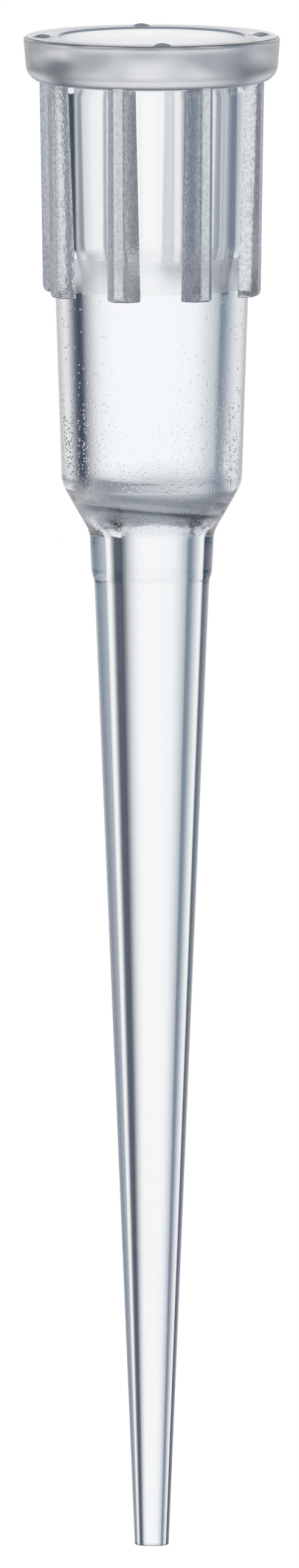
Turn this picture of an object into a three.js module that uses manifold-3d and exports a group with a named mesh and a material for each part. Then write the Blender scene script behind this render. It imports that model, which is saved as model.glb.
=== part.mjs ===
// A small-volume pipette tip, injection moulded in one piece in natural polypropylene.
// Millimetres, +Z up. The origin is the middle of the mouth, so the tip hangs below it, as on a pipette.
import * as THREE from "three";
import { mergeVertices } from "three/addons/utils/BufferGeometryUtils.js";
import Module from "manifold-3d";

// Flange: the collar round the mouth, which the ejector pushes on
const FLANGE_DIAMETER = 6.8;
const FLANGE_HEIGHT = 1.2;
const FLANGE_DRAFT = 0.1;
const FLANGE_TOP_EDGE = 0.12;
const FLANGE_LOWER_EDGE = 0.4;

// Nubs: four low domes on the flange, which keep stacked racks of tips from sticking
const NUB_COUNT = 4;
const NUB_DIAMETER = 0.45;
const NUB_HEIGHT = 0.06;
const NUB_INSET = 0.5;

// Barrel: the wide part, from the flange to the shoulder
const BARREL_TOP_DIAMETER = 5.48;
const BARREL_BOTTOM_DIAMETER = 4.77;
const BARREL_LENGTH = 10.64;

// Ribs: they stiffen the barrel, and their flat ends sit on the rack
const RIB_COUNT = 8;
const RIB_LENGTH = 5.65;
const RIB_TOP_HEIGHT = 0.34;
const RIB_END_HEIGHT = 0.43;
const RIB_FACE_WIDTH = 0.25;
const RIB_DRAFT_ANGLE = THREE.MathUtils.degToRad(35);
const RIB_END_EDGE = 0.19;
const RIB_SIDE_EDGE = 0.05;

// Shoulder, collar and point: the stepped cone below the barrel
const SHOULDER_LENGTH = 1.3;
const COLLAR_TOP_DIAMETER = 3.3;
const COLLAR_BOTTOM_DIAMETER = 3.19;
const COLLAR_LENGTH = 1.08;
const STEP_DEPTH = 0.07;
const STEP_LENGTH = 0.2;
const STEP_EDGE = 0.08;
const POINT_LENGTH = 25.58;
const POINT_DIAMETER = 0.9;
const POINT_EDGE = 0.05;
const SHOULDER_EDGE = 0.15;

// Bore: the mouth and its lead-in, the seat for the pipette's cone, a ledge, the reservoir, a funnel
// and the fine bore
const MOUTH_DEPTH = 0.22;
const MOUTH_EDGE = 0.08;
const LEAD_IN_WIDTH = 0.34;
const LEAD_IN_LENGTH = 1.13;
const LEAD_IN_EDGE = 0.15;
const SEAT_TOP_WALL = 0.64;
const SEAT_FOOT_WALL = 0.58;
const SEAT_LENGTH = 4.35;
const LEDGE_WIDTH = 0.15;
const LEDGE_LENGTH = 0.7;
const RESERVOIR_FLOOR_WALL = 0.66;
const FUNNEL_RISE = 0.2;
const FINE_BORE_TOP_WALL = 0.67;
const POINT_WALL = 0.2;
const BORE_EDGE = 0.3;

const ROUND_SEGMENTS = 64;
const NUB_SEGMENTS = 16;
const CORNER_SEGMENTS = 3;
// The largest share of a side that the rounding of one corner takes up
const CORNER_SHARE = 0.45;

const wasm = await Module();
wasm.setup();

// Heights of the places where the outline turns, from the mouth down
const flangeBottom = -FLANGE_HEIGHT;
const ribBottom = flangeBottom - RIB_LENGTH;
const barrelBottom = flangeBottom - BARREL_LENGTH;
const shoulderBottom = barrelBottom - SHOULDER_LENGTH;
const collarBottom = shoulderBottom - COLLAR_LENGTH;
const pointTop = collarBottom - STEP_LENGTH;
const pointBottom = pointTop - POINT_LENGTH;
const pointTopRadius = COLLAR_BOTTOM_DIAMETER / 2 - STEP_DEPTH;
const seatTop = -MOUTH_DEPTH - LEAD_IN_LENGTH;
const seatBottom = seatTop - SEAT_LENGTH;

// A radius that runs straight from one height to another, and on past both
function taper(topRadius, top, bottomRadius, bottom) {
  return (z) => topRadius + ((bottomRadius - topRadius) * (z - top)) / (bottom - top);
}

const barrelRadius = taper(
  BARREL_TOP_DIAMETER / 2,
  flangeBottom,
  BARREL_BOTTOM_DIAMETER / 2,
  barrelBottom,
);
const seatTopRadius = barrelRadius(seatTop) - SEAT_TOP_WALL;
const seatBottomRadius = barrelRadius(seatBottom) - SEAT_FOOT_WALL;
const fineBoreRadius = taper(
  pointTopRadius - FINE_BORE_TOP_WALL,
  pointTop,
  POINT_DIAMETER / 2 - POINT_WALL,
  pointBottom,
);
const ribFaceRadius = taper(
  barrelRadius(flangeBottom) + RIB_TOP_HEIGHT,
  flangeBottom,
  barrelRadius(ribBottom) + RIB_END_HEIGHT,
  ribBottom,
);

// A corner of the outline: its radius from the axis, its height, and how far its rounding reaches
function corner(radius, height, edge = 0) {
  return { at: new THREE.Vector2(radius, height), edge };
}

// The closed outline through the corners, with each rounded corner as a short curve
function roundedOutline(corners) {
  const points = corners.flatMap(({ at, edge }, i) => {
    if (edge === 0) return [at];
    const before = corners.at(i - 1).at;
    const after = corners[(i + 1) % corners.length].at;
    const reach = (end) => Math.min(edge, CORNER_SHARE * at.distanceTo(end));
    const start = at.clone().lerp(before, reach(before) / at.distanceTo(before));
    const end = at.clone().lerp(after, reach(after) / at.distanceTo(after));
    return new THREE.QuadraticBezierCurve(start, at, end).getPoints(CORNER_SEGMENTS);
  });
  return [...points, points[0]];
}

// three.js revolves about Y and extrudes along Z, and the tip's axis is Z
function revolve(outline) {
  return new THREE.LatheGeometry(outline, ROUND_SEGMENTS).rotateX(Math.PI / 2);
}

function solidFrom(geometry) {
  const bare = geometry.clone().deleteAttribute("normal").deleteAttribute("uv");
  const merged = mergeVertices(bare);
  const mesh = new wasm.Mesh({
    numProp: 3,
    vertProperties: merged.attributes.position.array,
    triVerts: new Uint32Array(merged.index.array),
  });
  return new wasm.Manifold(mesh);
}

function geometryFrom(solid) {
  const { vertProperties, triVerts } = solid.getMesh();
  const geometry = new THREE.BufferGeometry();
  geometry.setAttribute("position", new THREE.BufferAttribute(vertProperties, 3));
  geometry.setIndex(new THREE.BufferAttribute(triVerts, 1));
  geometry.computeVertexNormals();
  return geometry;
}

// The turned body: up the outside from the point to the flange, then down the bore
function makeBody() {
  const funnelTop = barrelBottom + FUNNEL_RISE;
  const funnelBottom = shoulderBottom + FUNNEL_RISE;
  const ledgeBottom = seatBottom - LEDGE_LENGTH;
  const flangeBottomRadius = FLANGE_DIAMETER / 2 - FLANGE_DRAFT;
  const mouthRadius = seatTopRadius + LEAD_IN_WIDTH;
  const outline = roundedOutline([
    corner(POINT_DIAMETER / 2, pointBottom, POINT_EDGE),
    corner(pointTopRadius, pointTop, STEP_EDGE),
    corner(COLLAR_BOTTOM_DIAMETER / 2, collarBottom, STEP_EDGE),
    corner(COLLAR_TOP_DIAMETER / 2, shoulderBottom, SHOULDER_EDGE),
    corner(barrelRadius(barrelBottom), barrelBottom, SHOULDER_EDGE),
    corner(barrelRadius(flangeBottom), flangeBottom),
    corner(flangeBottomRadius, flangeBottom, FLANGE_LOWER_EDGE),
    corner(FLANGE_DIAMETER / 2, 0, FLANGE_TOP_EDGE),
    corner(mouthRadius, 0, MOUTH_EDGE),
    corner(mouthRadius, -MOUTH_DEPTH, MOUTH_EDGE),
    corner(seatTopRadius, seatTop, LEAD_IN_EDGE),
    corner(seatBottomRadius, seatBottom, BORE_EDGE),
    corner(seatBottomRadius - LEDGE_WIDTH, ledgeBottom, BORE_EDGE),
    corner(barrelRadius(funnelTop) - RESERVOIR_FLOOR_WALL, funnelTop, BORE_EDGE),
    corner(fineBoreRadius(funnelBottom), funnelBottom, BORE_EDGE),
    corner(fineBoreRadius(pointBottom), pointBottom),
  ]);
  return solidFrom(revolve(outline));
}

// One rib on the +X side: its side view extruded to the width of its face, then drafted, so that
// both sides spread evenly from the face to the root. The root is sunk halfway into the wall, and
// the rib's top halfway up the flange.
function makeRib() {
  const ribTop = flangeBottom / 2;
  const rootRadius = (z) => barrelRadius(z) - SEAT_FOOT_WALL / 2;
  const [root, face, lowerRoot, lowerFace] = [
    new THREE.Vector2(rootRadius(ribTop), ribTop),
    new THREE.Vector2(ribFaceRadius(ribTop), ribTop),
    new THREE.Vector2(rootRadius(ribBottom), ribBottom),
    new THREE.Vector2(ribFaceRadius(ribBottom), ribBottom),
  ];
  const endEdge = Math.min(RIB_END_EDGE, RIB_END_HEIGHT);
  const side = new THREE.Shape();
  side.moveTo(root.x, root.y);
  side.lineTo(lowerRoot.x, lowerRoot.y);
  side.lineTo(lowerFace.x - endEdge, lowerFace.y);
  side.quadraticCurveTo(
    lowerFace.x,
    lowerFace.y,
    ribFaceRadius(ribBottom + endEdge),
    ribBottom + endEdge,
  );
  side.lineTo(face.x, face.y);
  side.closePath();
  const sideEdge = Math.min(RIB_SIDE_EDGE, CORNER_SHARE * RIB_FACE_WIDTH);
  const flatWidth = RIB_FACE_WIDTH - 2 * sideEdge;
  const rib = new THREE.ExtrudeGeometry(side, {
    depth: flatWidth,
    curveSegments: CORNER_SEGMENTS,
    bevelThickness: sideEdge,
    bevelSize: sideEdge,
    bevelOffset: -sideEdge,
    bevelSegments: CORNER_SEGMENTS,
  });
  rib.translate(0, 0, -flatWidth / 2).rotateX(Math.PI / 2);
  const place = rib.attributes.position;
  for (let i = 0; i < place.count; i += 1) {
    const depthBelowFace = ribFaceRadius(place.getZ(i)) - place.getX(i);
    const spread = depthBelowFace * Math.tan(RIB_DRAFT_ANGLE);
    place.setY(i, place.getY(i) + Math.sign(place.getY(i)) * spread);
  }
  return solidFrom(rib);
}

// One nub on the +X side: a dome, with a stub below it that is sunk in the flange
function makeNub() {
  const radius = NUB_DIAMETER / 2;
  const domeRadius = (radius ** 2 + NUB_HEIGHT ** 2) / (2 * NUB_HEIGHT);
  const halfAngle = Math.asin(radius / domeRadius);
  const outline = [new THREE.Vector2(0, -NUB_HEIGHT), new THREE.Vector2(radius, -NUB_HEIGHT)];
  for (let i = CORNER_SEGMENTS; i >= 0; i -= 1) {
    const angle = (halfAngle * i) / CORNER_SEGMENTS;
    const height = NUB_HEIGHT - domeRadius * (1 - Math.cos(angle));
    outline.push(new THREE.Vector2(domeRadius * Math.sin(angle), height));
  }
  outline.push(outline[0]);
  const dome = new THREE.LatheGeometry(outline, NUB_SEGMENTS).rotateX(Math.PI / 2);
  return solidFrom(dome.translate(FLANGE_DIAMETER / 2 - NUB_INSET, 0, 0));
}

// The same solid at even steps round the axis, from a first angle in degrees
function aroundAxis(solid, count, firstAngle) {
  return Array.from({ length: count }, (_, i) => solid.rotate([0, 0, firstAngle + (360 * i) / count]));
}

const ribs = aroundAxis(makeRib(), RIB_COUNT, 180 / RIB_COUNT);
const nubs = aroundAxis(makeNub(), NUB_COUNT, 0);
const moulding = [...ribs, ...nubs].reduce((whole, piece) => whole.add(piece), makeBody());

const naturalPolypropylene = new THREE.MeshStandardMaterial({
  color: 0xe8edf2,
  roughness: 0.3,
  metalness: 0,
  transparent: true,
  opacity: 0.55,
});

const tip = new THREE.Mesh(geometryFrom(moulding), naturalPolypropylene);
tip.name = "pipette_tip";

const part = new THREE.Group();
part.add(tip);

export default part;
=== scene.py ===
import math

import bmesh
import bpy
from mathutils import Matrix, Vector


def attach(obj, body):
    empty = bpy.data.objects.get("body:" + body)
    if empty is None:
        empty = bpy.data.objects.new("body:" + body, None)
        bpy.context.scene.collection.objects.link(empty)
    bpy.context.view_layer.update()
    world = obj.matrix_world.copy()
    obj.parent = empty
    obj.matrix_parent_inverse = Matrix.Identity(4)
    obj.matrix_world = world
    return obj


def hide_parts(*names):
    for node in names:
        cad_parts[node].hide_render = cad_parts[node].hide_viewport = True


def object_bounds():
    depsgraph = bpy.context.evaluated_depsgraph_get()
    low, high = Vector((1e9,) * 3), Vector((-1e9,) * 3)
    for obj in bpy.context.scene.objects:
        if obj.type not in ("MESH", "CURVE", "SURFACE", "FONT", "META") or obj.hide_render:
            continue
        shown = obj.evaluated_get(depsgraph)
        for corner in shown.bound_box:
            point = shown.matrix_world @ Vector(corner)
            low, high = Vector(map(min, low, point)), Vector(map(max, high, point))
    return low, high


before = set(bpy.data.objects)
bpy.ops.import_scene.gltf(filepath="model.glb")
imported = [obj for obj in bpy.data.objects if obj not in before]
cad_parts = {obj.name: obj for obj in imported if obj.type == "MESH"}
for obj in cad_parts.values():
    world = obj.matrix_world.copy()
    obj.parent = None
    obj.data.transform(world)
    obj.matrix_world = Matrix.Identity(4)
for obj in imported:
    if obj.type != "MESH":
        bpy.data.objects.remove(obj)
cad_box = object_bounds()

# The moulded body: one hollow turned shape in natural polypropylene, from the flanged mouth down
# through the barrel and the stepped shoulder to the fine point. It is moulded round a polished core
# pin, which leaves the tapering bore. It is modelled in millimetres and brought to metres at the end.
BODY_SIDES = 256
EDGE_STEPS = 6
FLANGE_RADIUS = 3.4
FLANGE_LOWER_RADIUS = 3.3
FLANGE_BOTTOM = -1.2
BARREL_TOP_RADIUS = 2.74
BARREL_BOTTOM_RADIUS = 2.385
BARREL_BOTTOM = -11.84
SHOULDER_BOTTOM = -13.14
COLLAR_TOP_RADIUS = 1.65
COLLAR_LOWER_RADIUS = 1.595
COLLAR_BOTTOM = -14.22
POINT_TOP_RADIUS = 1.525
POINT_TOP = -14.42
POINT_RADIUS = 0.45
POINT_BOTTOM = -40.0
MOUTH_BOTTOM = -0.22
LEAD_IN_WIDTH = 0.34
SEAT_TOP = -1.35
SEAT_TOP_WALL = 0.64
SEAT_BOTTOM = -5.7
SEAT_FOOT_WALL = 0.58
LEDGE_WIDTH = 0.15
LEDGE_BOTTOM = -6.4
FUNNEL_TOP = -11.97
RESERVOIR_FLOOR_WALL = 0.66
FUNNEL_BOTTOM = -12.94
FUNNEL_LEAN = math.radians(8)
FUNNEL_MOUTH_REACH = 0.35
PIN_BEND = 0.45
PIN_SHIFT = 0.06
BORE_TOP_REACH = 0.31
FINE_BORE_TOP_WALL = 0.67
POINT_WALL = 0.2


def barrel_radius(height):
    fall = (height - FLANGE_BOTTOM) / (BARREL_BOTTOM - FLANGE_BOTTOM)
    return BARREL_TOP_RADIUS + (BARREL_BOTTOM_RADIUS - BARREL_TOP_RADIUS) * fall


def fine_bore_radius(height):
    top_radius = POINT_TOP_RADIUS - FINE_BORE_TOP_WALL
    bottom_radius = POINT_RADIUS - POINT_WALL
    fall = (height - POINT_TOP) / (POINT_BOTTOM - POINT_TOP)
    return top_radius + (bottom_radius - top_radius) * fall


seat_top_radius = barrel_radius(SEAT_TOP) - SEAT_TOP_WALL
seat_bottom_radius = barrel_radius(SEAT_BOTTOM) - SEAT_FOOT_WALL


# Each ring of the outline: its radius, its height, and how far its rounding reaches
OUTLINE = (
    (POINT_RADIUS, POINT_BOTTOM, 0.05),
    (POINT_TOP_RADIUS, POINT_TOP, 0.08),
    (COLLAR_LOWER_RADIUS, COLLAR_BOTTOM, 0.08),
    (COLLAR_TOP_RADIUS, SHOULDER_BOTTOM, 0.15),
    (BARREL_BOTTOM_RADIUS, BARREL_BOTTOM, 0.15),
    (BARREL_TOP_RADIUS, FLANGE_BOTTOM, 0.05),
    (FLANGE_LOWER_RADIUS, FLANGE_BOTTOM, 0.4),
    (FLANGE_RADIUS, 0.0, 0.12),
    (seat_top_radius + LEAD_IN_WIDTH, 0.0, 0.08),
    (seat_top_radius + LEAD_IN_WIDTH, MOUTH_BOTTOM, 0.08),
    (seat_top_radius, SEAT_TOP, 0.15),
    (seat_bottom_radius, SEAT_BOTTOM, 0.3),
    (seat_bottom_radius - LEDGE_WIDTH, LEDGE_BOTTOM, 0.3),
    (barrel_radius(FUNNEL_TOP) - RESERVOIR_FLOOR_WALL, FUNNEL_TOP, 0.3),
    (fine_bore_radius(FUNNEL_BOTTOM), FUNNEL_BOTTOM, 0.3),
    (fine_bore_radius(POINT_BOTTOM), POINT_BOTTOM, 0.03),
)


def select_edges(piece, wanted):
    """In edit mode, only the edges for which wanted(edge) is true are selected."""
    mesh = bmesh.from_edit_mesh(piece.data)
    for vert in mesh.verts:
        vert.select_set(False)
    for edge in mesh.edges:
        edge.select_set(bool(wanted(edge)))
    mesh.select_flush_mode()
    bmesh.update_edit_mesh(piece.data)


def on_ring(edge, radius, height):
    return all(
        abs(math.hypot(vert.co.x, vert.co.y) - radius) < 1e-3 and abs(vert.co.z - height) < 1e-3
        for vert in edge.verts
    )


bpy.ops.object.select_all(action="DESELECT")
bpy.ops.mesh.primitive_circle_add(
    vertices=BODY_SIDES, radius=OUTLINE[0][0], location=(0, 0, OUTLINE[0][1])
)
tip = bpy.context.object
tip.name = "tip_moulding"
bpy.ops.object.transform_apply(location=True)
bpy.ops.object.mode_set(mode="EDIT")
bpy.ops.mesh.select_all(action="SELECT")
for (radius, height, _), (next_radius, next_height, _) in zip(OUTLINE, OUTLINE[1:] + OUTLINE[:1]):
    bpy.ops.mesh.extrude_region_move(
        TRANSFORM_OT_translate={"value": (0, 0, next_height - height)}
    )
    grow = next_radius / radius
    if grow != 1:
        bpy.ops.transform.resize(value=(grow, grow, 1), center_override=(0, 0, next_height))
bpy.ops.mesh.select_all(action="SELECT")
bpy.ops.mesh.remove_doubles(threshold=1e-4)
bpy.ops.mesh.normals_make_consistent(inside=False)
bpy.ops.mesh.select_mode(type="EDGE")
for radius, height, reach in OUTLINE:
    select_edges(tip, lambda edge: on_ring(edge, radius, height))
    bpy.ops.mesh.bevel(offset=reach, segments=EDGE_STEPS, affect="EDGES")


def in_funnel_mouth(vert):
    radius = math.hypot(vert.co.x, vert.co.y)
    near = abs(vert.co.z - FUNNEL_TOP) < FUNNEL_MOUTH_REACH
    return near and radius < barrel_radius(FUNNEL_TOP) - RESERVOIR_FLOOR_WALL / 2


# The pin's shoulder is ground a little askew, so the funnel's mouth leans
select_edges(tip, lambda edge: all(in_funnel_mouth(vert) for vert in edge.verts))
bpy.ops.transform.rotate(
    value=-FUNNEL_LEAN, orient_axis="Y", center_override=(0, 0, FUNNEL_TOP + PIN_BEND)
)


def in_bore_top(vert):
    near = abs(vert.co.z - FUNNEL_BOTTOM) < BORE_TOP_REACH
    return near and math.hypot(vert.co.x, vert.co.y) < COLLAR_LOWER_RADIUS - FINE_BORE_TOP_WALL / 2


# The long thin pin is pushed a little aside by the melt, more so at its root than at its held end
select_edges(tip, lambda edge: all(in_bore_top(vert) for vert in edge.verts))
bpy.ops.transform.translate(value=(PIN_SHIFT, 0, 0))

bpy.ops.object.mode_set(mode="OBJECT")

# The eight ribs on the barrel, moulded with it: each is a drafted bar with a flat end that sits on
# the rack. Their cavities are spark-eroded and left unpolished, so they come out with a fine grain.
RIB_COUNT = 8
RIB_BOTTOM = -6.85
RIB_FACE_WIDTH = 0.25
RIB_SPREAD = math.tan(math.radians(35))
RIB_TOP_HEIGHT = 0.34
RIB_END_HEIGHT = 0.43
RIB_END_EDGE = 0.19
RIB_SIDE_EDGE = 0.05


def rib_face_radius(height):
    fall = (height - FLANGE_BOTTOM) / (RIB_BOTTOM - FLANGE_BOTTOM)
    return barrel_radius(height) + RIB_TOP_HEIGHT + (RIB_END_HEIGHT - RIB_TOP_HEIGHT) * fall


rib_top = FLANGE_BOTTOM / 2
root_top = barrel_radius(rib_top) - SEAT_FOOT_WALL / 2
root_bottom = barrel_radius(RIB_BOTTOM) - SEAT_FOOT_WALL / 2
bpy.ops.object.select_all(action="DESELECT")
bpy.ops.mesh.primitive_cube_add(size=1, location=(0, 0, 0))
rib = bpy.context.object
rib.name = "rib"
bpy.ops.object.mode_set(mode="EDIT")
bpy.ops.mesh.select_mode(type="EDGE")


def at_corner(vert, x, z):
    return abs(vert.co.x - x) < 1e-3 and abs(vert.co.z - z) < 1e-3


# Each of the bar's four cross edges is widened, then moved to its radius and height
for z, height, root_radius in ((0.5, rib_top, root_top), (-0.5, RIB_BOTTOM, root_bottom)):
    face_radius = rib_face_radius(height)
    for x, radius in ((0.5, face_radius), (-0.5, root_radius)):
        width = RIB_FACE_WIDTH + 2 * (face_radius - radius) * RIB_SPREAD
        select_edges(rib, lambda edge: all(at_corner(vert, x, z) for vert in edge.verts))
        bpy.ops.transform.resize(value=(1, width, 1), center_override=(0, 0, 0))
        bpy.ops.transform.translate(value=(radius - x, 0, height - z))
select_edges(
    rib, lambda edge: all(v.co.z < rib_top - 1 and v.co.x > root_bottom + 0.1 for v in edge.verts)
)
bpy.ops.mesh.bevel(offset=RIB_END_EDGE, segments=EDGE_STEPS, affect="EDGES")


def rib_side_edge(edge):
    sides = [abs(face.normal.y) > 0.5 for face in edge.link_faces]
    at_root = all(v.co.x < root_bottom + 0.1 for v in edge.verts)
    at_top = all(v.co.z > rib_top - 0.1 for v in edge.verts)
    return any(sides) and not all(sides) and not at_root and not at_top


select_edges(rib, rib_side_edge)
bpy.ops.mesh.bevel(offset=RIB_SIDE_EDGE, segments=4, affect="EDGES")
bpy.ops.object.mode_set(mode="OBJECT")

ribs = []
for i in range(RIB_COUNT):
    copy = rib.copy()
    copy.data = rib.data.copy()
    bpy.context.collection.objects.link(copy)
    turn = math.radians(360 / RIB_COUNT * (i + 0.5))
    copy.data.transform(Matrix.Rotation(turn, 4, "Z"))
    ribs.append(copy)
bpy.data.objects.remove(rib)
bpy.ops.object.select_all(action="DESELECT")
for copy in ribs:
    copy.select_set(True)
bpy.context.view_layer.objects.active = ribs[0]
bpy.ops.object.join()
ribs = bpy.context.object


def join_solid(whole, added):
    """The added solid is joined to the whole one by an exact union, and used up."""
    bpy.ops.object.select_all(action="DESELECT")
    bpy.context.view_layer.objects.active = whole
    whole.select_set(True)
    union = whole.modifiers.new("union", "BOOLEAN")
    union.operation = "UNION"
    union.solver = "EXACT"
    union.object = added
    bpy.ops.object.modifier_apply(modifier=union.name)
    bpy.data.objects.remove(added)


join_solid(tip, ribs)

# The four nubs on the flange: low domes that keep stacked racks of tips from sticking together.
# They are the print of four ball-nosed cuts in the mould's end plate.
NUB_COUNT = 4
NUB_RADIUS = 0.225
NUB_HEIGHT = 0.06
NUB_PITCH_RADIUS = 2.9
NUB_SINK = 0.1

ball_radius = (NUB_RADIUS**2 + NUB_HEIGHT**2) / (2 * NUB_HEIGHT)
bpy.ops.object.select_all(action="DESELECT")
bpy.ops.mesh.primitive_uv_sphere_add(
    segments=48,
    ring_count=64,
    radius=ball_radius,
    location=(NUB_PITCH_RADIUS, 0, NUB_HEIGHT - ball_radius),
)
nub = bpy.context.object
bpy.ops.object.transform_apply(location=True)
bpy.ops.object.mode_set(mode="EDIT")
bpy.ops.mesh.select_all(action="SELECT")
bpy.ops.mesh.bisect(
    plane_co=(0, 0, -NUB_SINK), plane_no=(0, 0, 1), use_fill=True, clear_inner=True
)
bpy.ops.object.mode_set(mode="OBJECT")
nubs = []
for i in range(NUB_COUNT):
    copy = nub.copy()
    copy.data = nub.data.copy()
    bpy.context.collection.objects.link(copy)
    copy.data.transform(Matrix.Rotation(math.radians(360 / NUB_COUNT * i), 4, "Z"))
    nubs.append(copy)
bpy.data.objects.remove(nub)
bpy.ops.object.select_all(action="DESELECT")
for copy in nubs:
    copy.select_set(True)
bpy.context.view_layer.objects.active = nubs[0]
bpy.ops.object.join()
join_solid(tip, bpy.context.object)

# The finished moulding is brought to metres and smoothed, with its true edges kept.
MM = 0.001
tip.data.transform(Matrix.Scale(MM, 4))
bpy.ops.object.select_all(action="DESELECT")
tip.select_set(True)
bpy.context.view_layer.objects.active = tip
bpy.ops.object.shade_smooth_by_angle(angle=math.radians(32))
normals = tip.modifiers.new("normals", "WEIGHTED_NORMAL")
normals.keep_sharp = True
bpy.ops.object.modifier_apply(modifier=normals.name)


def node_group(name, inputs, outputs):
    """An empty shader group with the named sockets, and its input and output nodes."""
    group = bpy.data.node_groups.new(name, "ShaderNodeTree")
    for label, kind in inputs:
        group.interface.new_socket(label, in_out="INPUT", socket_type="NodeSocket" + kind)
    for label, kind in outputs:
        group.interface.new_socket(label, in_out="OUTPUT", socket_type="NodeSocket" + kind)
    return group, group.nodes.new("NodeGroupInput"), group.nodes.new("NodeGroupOutput")


def math_node(tree, operation, *values):
    """A math node whose inputs are numbers or other nodes' outputs."""
    node = tree.nodes.new("ShaderNodeMath")
    node.operation = operation
    for socket, value in zip(node.inputs, values):
        if isinstance(value, (int, float)):
            socket.default_value = value
        else:
            tree.links.new(value, socket)
    return node.outputs[0]


# Spark-eroded grain: small rounded craters of uneven size, in millimetres
grain, taken, given = node_group(
    "eroded_grain",
    (("Grain Size", "Float"), ("Stretch", "Float")),
    (("Height", "Float"), ("Hollow Shade", "Float")),
)
place = grain.nodes.new("ShaderNodeTexCoord")
stretch = grain.nodes.new("ShaderNodeCombineXYZ")
stretch.inputs[0].default_value = 1
stretch.inputs[1].default_value = 1
grain.links.new(taken.outputs["Stretch"], stretch.inputs[2])
scaled = grain.nodes.new("ShaderNodeVectorMath")
scaled.operation = "MULTIPLY"
grain.links.new(place.outputs["Object"], scaled.inputs[0])
grain.links.new(stretch.outputs[0], scaled.inputs[1])
craters = grain.nodes.new("ShaderNodeTexNoise")
craters.inputs["Detail"].default_value = 2
grain.links.new(scaled.outputs[0], craters.inputs["Vector"])
per_metre = math_node(grain, "DIVIDE", 1 / MM, taken.outputs["Grain Size"])
grain.links.new(per_metre, craters.inputs["Scale"])
grain.links.new(craters.outputs["Fac"], given.inputs["Height"])
# The grain's second output is painted shade: the low places of the craters darken the colour
hollow_shade = grain.nodes.new("ShaderNodeMapRange")
hollow_shade.inputs["From Min"].default_value = 0.35
hollow_shade.inputs["From Max"].default_value = 0.65
grain.links.new(craters.outputs["Fac"], hollow_shade.inputs["Value"])
grain.links.new(hollow_shade.outputs[0], given.inputs["Hollow Shade"])


IOR = 1.49


def polypropylene(name, colour, roughness, transmission, grain_size, stretch, depth):
    """Natural polypropylene: clear, a little milky, with a moulded grain in its skin."""
    material = bpy.data.materials.new(name)
    material.use_nodes = True
    nodes, links = material.node_tree.nodes, material.node_tree.links
    shader = nodes["Principled BSDF"]
    shader.inputs["Base Color"].default_value = (*colour, 1)
    shader.inputs["Roughness"].default_value = roughness
    shader.inputs["IOR"].default_value = IOR
    shader.inputs["Transmission Weight"].default_value = transmission
    skin = nodes.new("ShaderNodeGroup")
    skin.node_tree = grain
    skin.inputs["Grain Size"].default_value = grain_size
    skin.inputs["Stretch"].default_value = stretch
    bump = nodes.new("ShaderNodeBump")
    bump.inputs["Strength"].default_value = 1.0
    bump.inputs["Distance"].default_value = depth * MM
    within = nodes.new("ShaderNodeNewGeometry")
    outside = math_node(material.node_tree, "MULTIPLY_ADD", within.outputs["Backfacing"], -0.8, 1)
    height = math_node(material.node_tree, "MULTIPLY", skin.outputs["Height"], outside)
    links.new(height, bump.inputs["Height"])
    links.new(bump.outputs["Normal"], shader.inputs["Normal"])
    return material, skin, bump, shader


INNER_ROUGHNESS = 0.2


def paint_grain_shade(material, skin, shader, dark, light):
    """Painted shade in the grain's hollows: the colour is darkened where the grain is low, but only
    on the way in.
    """
    nodes, links = material.node_tree.nodes, material.node_tree.links
    mix = nodes.new("ShaderNodeMix")
    mix.data_type = "RGBA"
    mix.inputs[6].default_value = (*dark, 1)
    mix.inputs[7].default_value = (*light, 1)
    links.new(skin.outputs["Hollow Shade"], mix.inputs[0])
    within = nodes.new("ShaderNodeNewGeometry")
    outer_only = nodes.new("ShaderNodeMix")
    outer_only.data_type = "RGBA"
    outer_only.inputs[7].default_value = (*CLEAR, 1)
    links.new(within.outputs["Backfacing"], outer_only.inputs[0])
    links.new(mix.outputs[2], outer_only.inputs[6])
    links.new(outer_only.outputs[2], shader.inputs["Base Color"])
    gloss = nodes.new("ShaderNodeMapRange")
    gloss.inputs["To Min"].default_value = shader.inputs["Roughness"].default_value
    gloss.inputs["To Max"].default_value = INNER_ROUGHNESS
    links.new(within.outputs["Backfacing"], gloss.inputs["Value"])
    links.new(gloss.outputs[0], shader.inputs["Roughness"])


# Each finish: its colour, roughness, transmission, and its grain's size, stretch and depth in mm
CLEAR = (0.98, 0.99, 1.0)
SOFT = (0.98, 0.985, 0.99)
polished, *_ = polypropylene("polished_polypropylene", CLEAR, 0.03, 0.985, 0.3, 0.2, 0.0005)
satin, *_ = polypropylene("satin_polypropylene", SOFT, 0.1, 0.97, 0.08, 4, 0.001)
frosted, *_ = polypropylene("frosted_polypropylene", SOFT, 0.28, 0.97, 0.08, 4, 0.002)
eroded, skin, _, shader = polypropylene(
    "eroded_polypropylene", CLEAR, 0.4, 0.93, 0.08, 1, 0.013
)
# Painted shade: the eroded faces' colour is darkened in their grain's hollows
paint_grain_shade(eroded, skin, shader, (0.63, 0.67, 0.72), (0.97, 0.99, 1.0))
# Painted shade: the ribs' drafted sides get a darker colour all over, and more painted shade in their
# grain's hollows
drafted, skin, _, shader = polypropylene(
    "drafted_shade_painted_polypropylene", CLEAR, 0.25, 0.93, 0.08, 1, 0.013
)
paint_grain_shade(drafted, skin, shader, (0.45, 0.48, 0.52), (0.8, 0.83, 0.86))

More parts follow.
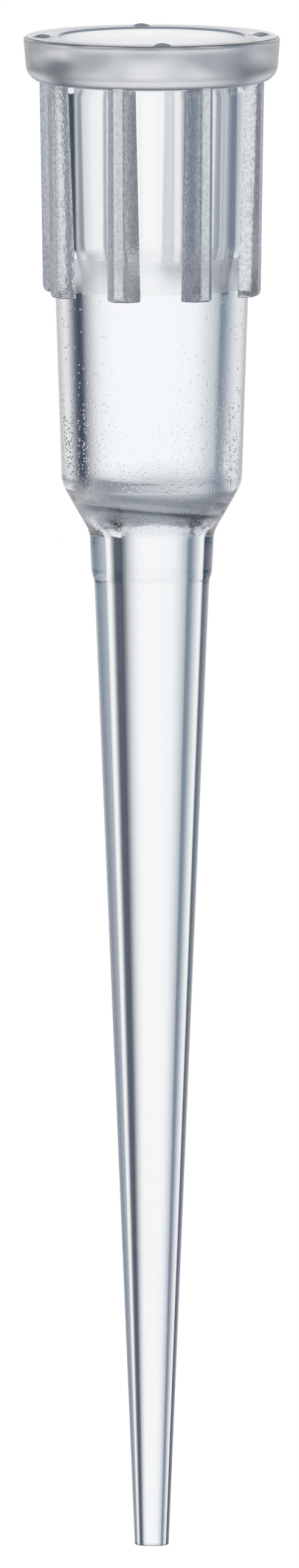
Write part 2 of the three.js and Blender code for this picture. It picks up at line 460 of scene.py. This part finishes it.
# Pits in the skin of the reservoir, where the core pin is left unpolished: more of them lower down
pits, taken, given = node_group(
    "moulded_pits",
    (("Pitch", "Float"), ("Pit Share", "Float"), ("Share", "Float")),
    (("Height", "Float"),),
)
place = pits.nodes.new("ShaderNodeTexCoord")
cells = pits.nodes.new("ShaderNodeTexVoronoi")
pits.links.new(place.outputs["Object"], cells.inputs["Vector"])
pits.links.new(math_node(pits, "DIVIDE", 1 / MM, taken.outputs["Pitch"]), cells.inputs["Scale"])
bowl = pits.nodes.new("ShaderNodeMapRange")
bowl.interpolation_type = "SMOOTHSTEP"
pits.links.new(cells.outputs["Distance"], bowl.inputs["Value"])
pits.links.new(taken.outputs["Pit Share"], bowl.inputs["From Max"])
bowl.inputs["To Min"].default_value = -1
bowl.inputs["To Max"].default_value = 0
chance = pits.nodes.new("ShaderNodeSeparateColor")
pits.links.new(cells.outputs["Color"], chance.inputs[0])
chosen = math_node(pits, "LESS_THAN", chance.outputs[0], taken.outputs["Share"])
pits.links.new(math_node(pits, "MULTIPLY", bowl.outputs[0], chosen), given.inputs["Height"])

# A soft-edged band: nothing outside Start and End, all between Full From and Full To
BAND_STOPS = ("Start", "Full From", "Full To", "End")
band, taken, given = node_group(
    "soft_band",
    [(label, "Float") for label in ("Value", *BAND_STOPS)],
    (("Mask", "Float"),),
)
ramps = []
for outer, inner in (("Start", "Full From"), ("End", "Full To")):
    ramp = band.nodes.new("ShaderNodeMapRange")
    ramp.interpolation_type = "SMOOTHSTEP"
    band.links.new(taken.outputs["Value"], ramp.inputs["Value"])
    band.links.new(taken.outputs[outer], ramp.inputs["From Min"])
    band.links.new(taken.outputs[inner], ramp.inputs["From Max"])
    ramps.append(ramp.outputs["Result"])
band.links.new(math_node(band, "MULTIPLY", *ramps), given.inputs["Mask"])


def band_mask(tree, value, stops):
    """The mask of a soft band with the given stops, for a value in this tree."""
    node = tree.nodes.new("ShaderNodeGroup")
    node.node_tree = band
    tree.links.new(value, node.inputs["Value"])
    for label, stop in zip(BAND_STOPS, stops):
        node.inputs[label].default_value = stop
    return node.outputs["Mask"]



# The reservoir's finish: pits that crowd towards its floor, a flow mark left in the shoulder where
# the melt turned into the narrow point, and a hazed band over the funnel, rougher and with painted
# shade darkening its colour. Heights are in mm.
PIT_PITCH = 0.065
PIT_WIDTH = 0.5
PIT_DEPTH = 0.0065
PITS_FROM, PITS_TO = -8.5, -11.8
FEWEST_PITS, MOST_PITS = 0.05, 0.5
GRAIN_DEPTH = 0.0015
FLOW_MARK_HEIGHT = -12.3
FLOW_MARK_SLANT = -0.1
FLOW_MARK_WIDTH = 0.2
FLOW_MARK_DEPTH = 0.03
HAZE_AND_SHADE_STOPS = (-11.3, -11.9, -12.6, -12.85)
RESERVOIR_ROUGHNESS = 0.12
HAZE_ROUGHNESS = 0.13
# Painted shade: the colour over the funnel's band, darker and bluer than the clear plastic
PAINTED_FUNNEL_SHADE = (0.74, 0.76, 0.79)

reservoir, skin, bump, shader = polypropylene(
    "hazed_shade_painted_polypropylene", CLEAR, 0.08, 0.98, 0.05, 1, 0.002
)
tree = reservoir.node_tree
place = tree.nodes.new("ShaderNodeTexCoord")
split = tree.nodes.new("ShaderNodeSeparateXYZ")
tree.links.new(place.outputs["Object"], split.inputs[0])
depth = math_node(tree, "DIVIDE", split.outputs["Z"], MM)
speckle = tree.nodes.new("ShaderNodeGroup")
speckle.node_tree = pits
speckle.inputs["Pitch"].default_value = PIT_PITCH
speckle.inputs["Pit Share"].default_value = PIT_WIDTH
share = tree.nodes.new("ShaderNodeMapRange")
share.inputs["From Min"].default_value = PITS_FROM
share.inputs["From Max"].default_value = PITS_TO
share.inputs["To Min"].default_value = FEWEST_PITS
share.inputs["To Max"].default_value = MOST_PITS
tree.links.new(depth, share.inputs["Value"])
tree.links.new(share.outputs[0], speckle.inputs["Share"])
across = math_node(tree, "DIVIDE", split.outputs["X"], MM)
line = math_node(tree, "MULTIPLY_ADD", across, FLOW_MARK_SLANT, FLOW_MARK_HEIGHT)
away = math_node(tree, "ABSOLUTE", math_node(tree, "SUBTRACT", depth, line))
ridge = tree.nodes.new("ShaderNodeMapRange")
ridge.interpolation_type = "SMOOTHSTEP"
ridge.inputs["From Max"].default_value = FLOW_MARK_WIDTH
ridge.inputs["To Min"].default_value = FLOW_MARK_DEPTH
ridge.inputs["To Max"].default_value = 0
tree.links.new(away, ridge.inputs["Value"])
height = math_node(tree, "MULTIPLY_ADD", skin.outputs["Height"], GRAIN_DEPTH, ridge.outputs[0])
height = math_node(tree, "MULTIPLY_ADD", speckle.outputs["Height"], PIT_DEPTH, height)
tree.links.new(height, bump.inputs["Height"])
bump.inputs["Distance"].default_value = MM
haze_and_shade = band_mask(tree, depth, HAZE_AND_SHADE_STOPS)
rough = math_node(tree, "MULTIPLY_ADD", haze_and_shade, HAZE_ROUGHNESS, RESERVOIR_ROUGHNESS)
tree.links.new(rough, shader.inputs["Roughness"])
# Painted shade: over the funnel's band the colour is darkened to that tint
funnel_shade = tree.nodes.new("ShaderNodeMix")
funnel_shade.data_type = "RGBA"
funnel_shade.inputs[6].default_value = (*CLEAR, 1)
funnel_shade.inputs[7].default_value = (*PAINTED_FUNNEL_SHADE, 1)
tree.links.new(haze_and_shade, funnel_shade.inputs[0])
tree.links.new(funnel_shade.outputs[2], shader.inputs["Base Color"])

# Where each finish lies: the ribs and nubs are eroded, the ribs' sides drafted with painted shade,
# their ends, the seat and the fine bore satin, the flange and the ledge frosted, and all other skin
# polished
SKIN = 0.1
LEDGE_HALF_HEIGHT = 0.6
FINISHES = (polished, eroded, satin, reservoir, drafted, frosted)


def finish_of(face):
    middle = face.center / MM
    height, radius = middle.z, math.hypot(middle.x, middle.y)
    inside = radius < barrel_radius(height) - SKIN
    if height > 0.001:
        return eroded
    if height > FLANGE_BOTTOM - 0.01:
        return polished if face.normal.z > 0.8 else frosted
    if height > RIB_BOTTOM - 0.01 and radius > barrel_radius(height) + 0.01:
        along = Vector((-middle.y, middle.x, 0)).normalized()
        if face.normal.z < -0.6:
            return satin
        return drafted if abs(face.normal.dot(along)) > 0.4 else eroded
    if inside and abs(height - LEDGE_BOTTOM) < LEDGE_HALF_HEIGHT:
        return frosted
    if inside and LEDGE_BOTTOM > height > SHOULDER_BOTTOM:
        return reservoir
    if inside and height > SHOULDER_BOTTOM:
        return satin
    if height < FUNNEL_BOTTOM and radius < fine_bore_radius(height) + SKIN / 2:
        return satin
    return polished


tip.data.materials.clear()
for material in FINISHES:
    tip.data.materials.append(material)
for face in tip.data.polygons:
    face.material_index = FINISHES.index(finish_of(face))

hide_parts("pipette_tip")
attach(tip, "root")

# The studio's floor: plain and pale, well below the hanging tip. It is lit as any floor is, and
# looks white straight on and through the plastic.
FLOOR_DROP = 0.30
FLOOR_SIZE = 12
bpy.ops.object.select_all(action="DESELECT")
bpy.ops.mesh.primitive_plane_add(size=FLOOR_SIZE, location=(0, 0, cad_box[0].z - FLOOR_DROP))
floor = bpy.context.object
floor.name = "floor"
pale = bpy.data.materials.new("pale_floor")
pale.use_nodes = True
nodes, links = pale.node_tree.nodes, pale.node_tree.links
nodes.clear()
output = nodes.new("ShaderNodeOutputMaterial")
lit = nodes.new("ShaderNodeBsdfDiffuse")
lit.inputs["Color"].default_value = (0.85, 0.85, 0.85, 1)
white = nodes.new("ShaderNodeEmission")
seen = nodes.new("ShaderNodeLightPath")
mix = nodes.new("ShaderNodeMixShader")
direct, glossy, through = (
    seen.outputs[label] for label in ("Is Camera Ray", "Is Glossy Ray", "Is Transmission Ray")
)
either = math_node(pale.node_tree, "MAXIMUM", direct, glossy)
links.new(math_node(pale.node_tree, "MAXIMUM", either, through), mix.inputs[0])
links.new(lit.outputs[0], mix.inputs[1])
links.new(white.outputs[0], mix.inputs[2])
links.new(mix.outputs[0], output.inputs["Surface"])
floor.data.materials.append(pale)

# The surround: a white dome with soft-edged grey and dark cards at its sides and a dark ceiling,
# which draw the edges of the clear plastic. Only reflected and refracted rays see it.
DOME_RADIUS = 1.3
bpy.ops.object.select_all(action="DESELECT")
bpy.ops.mesh.primitive_uv_sphere_add(
    segments=96, ring_count=48, radius=DOME_RADIUS, location=(0, 0, 0)
)
dome = bpy.context.object
dome.name = "studio_dome"
dome.visible_camera = False
dome.visible_diffuse = False
dome.visible_shadow = False

surround = bpy.data.materials.new("studio_surround")
surround.use_nodes = True
nodes, links = surround.node_tree.nodes, surround.node_tree.links
nodes.clear()
output = nodes.new("ShaderNodeOutputMaterial")
glow = nodes.new("ShaderNodeEmission")
place = nodes.new("ShaderNodeTexCoord")
split = nodes.new("ShaderNodeSeparateXYZ")
links.new(place.outputs["Object"], split.inputs[0])


def bearing_of(tree, split):
    """The compass bearing of a place, in degrees."""
    turn = math_node(tree, "ARCTAN2", split.outputs["X"], split.outputs["Y"])
    return math_node(tree, "DEGREES", turn)


bearing = bearing_of(surround.node_tree, split)
rise = math_node(surround.node_tree, "DIVIDE", split.outputs["Z"], DOME_RADIUS)
rise = math_node(surround.node_tree, "ARCSINE", rise)
elevation = math_node(surround.node_tree, "DEGREES", rise)

# Each card: the angle that it is laid out by, where it starts, is full from and to, and ends, in
# degrees, and its colour. A later card lies over an earlier one.
CARDS = (
    (bearing, (6, 38, 100, 130), (0.71, 0.75, 0.79)),
    (bearing, (-3, -42, -74, -88), (0.0, 0.02, 0.06)),
    (bearing, (25, 68, 90, 110), (0.15, 0.2, 0.27)),
    (elevation, (8, 26, 91, 92), (0.1, 0.12, 0.15)),
)
below = None
for angle, stops, card_colour in CARDS:
    mix = nodes.new("ShaderNodeMix")
    mix.data_type = "RGBA"
    mix.inputs[6].default_value = (1, 1, 1, 1)
    mix.inputs[7].default_value = (*card_colour, 1)
    links.new(band_mask(surround.node_tree, angle, stops), mix.inputs[0])
    if below:
        links.new(below, mix.inputs[6])
    below = mix.outputs[2]
links.new(below, glow.inputs["Color"])
links.new(glow.outputs[0], output.inputs["Surface"])
dome.data.materials.append(surround)

# A round mat on the floor below the tip, which the camera doesn't see: dark in the middle and in
# three strips that run outwards. It darkens what the shoulder, the ledge and the flange bend down.
MAT_RADIUS = 1.2
MAT_LIFT = 0.001
MAT_CORE = 0.33
MAT_CORE_END = MAT_CORE * 1.6
MAT_COLOUR = (0.18, 0.22, 0.28)
MAT_STRIPS = ((-24, -8, 20, 36), (38, 52, 90, 104), (-62, -70, -80, -92))
bpy.ops.object.select_all(action="DESELECT")
bpy.ops.mesh.primitive_circle_add(
    vertices=96, radius=MAT_RADIUS, fill_type="NGON", location=(0, 0, floor.location.z + MAT_LIFT)
)
mat = bpy.context.object
mat.name = "dark_mat"
mat.visible_camera = False
mat.visible_diffuse = False
mat.visible_shadow = False
felt = bpy.data.materials.new("dark_felt")
felt.use_nodes = True
nodes, links = felt.node_tree.nodes, felt.node_tree.links
nodes.clear()
output = nodes.new("ShaderNodeOutputMaterial")
glow = nodes.new("ShaderNodeEmission")
place = nodes.new("ShaderNodeTexCoord")
split = nodes.new("ShaderNodeSeparateXYZ")
links.new(place.outputs["Object"], split.inputs[0])
reach = nodes.new("ShaderNodeVectorMath")
reach.operation = "LENGTH"
links.new(place.outputs["Object"], reach.inputs[0])
core = nodes.new("ShaderNodeMapRange")
core.interpolation_type = "SMOOTHSTEP"
core.inputs["From Min"].default_value = MAT_CORE
core.inputs["From Max"].default_value = MAT_CORE_END
core.inputs["To Min"].default_value = 1
core.inputs["To Max"].default_value = 0
links.new(reach.outputs["Value"], core.inputs["Value"])
bearing = bearing_of(felt.node_tree, split)
dark = core.outputs[0]
for stops in MAT_STRIPS:
    strip = band_mask(felt.node_tree, bearing, stops)
    dark = math_node(felt.node_tree, "MAXIMUM", dark, strip)
mix = nodes.new("ShaderNodeMix")
mix.data_type = "RGBA"
mix.inputs[6].default_value = (1, 1, 1, 1)
mix.inputs[7].default_value = (*MAT_COLOUR, 1)
links.new(dark, mix.inputs[0])
links.new(mix.outputs[2], glow.inputs["Color"])
links.new(glow.outputs[0], output.inputs["Surface"])
mat.data.materials.append(felt)

# The white room light, which falls evenly from all round
world = bpy.data.worlds.new("studio")
bpy.context.scene.world = world
world.use_nodes = True
world.node_tree.nodes["Background"].inputs["Color"].default_value = (1, 1, 1, 1)
world.node_tree.nodes["Background"].inputs["Strength"].default_value = 1.0

# The camera looks slightly down on the mouth, with the tip's whole length in view
CAMERA_BEARING = -5.5
CAMERA_RISE = 5.2
CAMERA_DISTANCE = 0.26
VIEW_LENGTH = 0.04139
VIEW_MIDDLE = (-0.00006, 0, -0.01984)
bearing, rise = math.radians(CAMERA_BEARING), math.radians(CAMERA_RISE)
back = Vector(
    (math.sin(bearing) * math.cos(rise), -math.cos(bearing) * math.cos(rise), math.sin(rise))
)
aim = Vector(VIEW_MIDDLE)
camera_data = bpy.data.cameras.new("camera")
camera_data.type = "ORTHO"
camera_data.ortho_scale = VIEW_LENGTH
camera_data.clip_start = 0.001
camera_data.clip_end = 20
camera = bpy.data.objects.new("camera", camera_data)
bpy.context.collection.objects.link(camera)
camera.location = aim + back * CAMERA_DISTANCE
camera.rotation_mode = "QUATERNION"
camera.rotation_quaternion = (-back).to_track_quat("-Z", "Y")
bpy.context.scene.camera = camera
bpy.context.scene.view_settings.view_transform = "Standard"
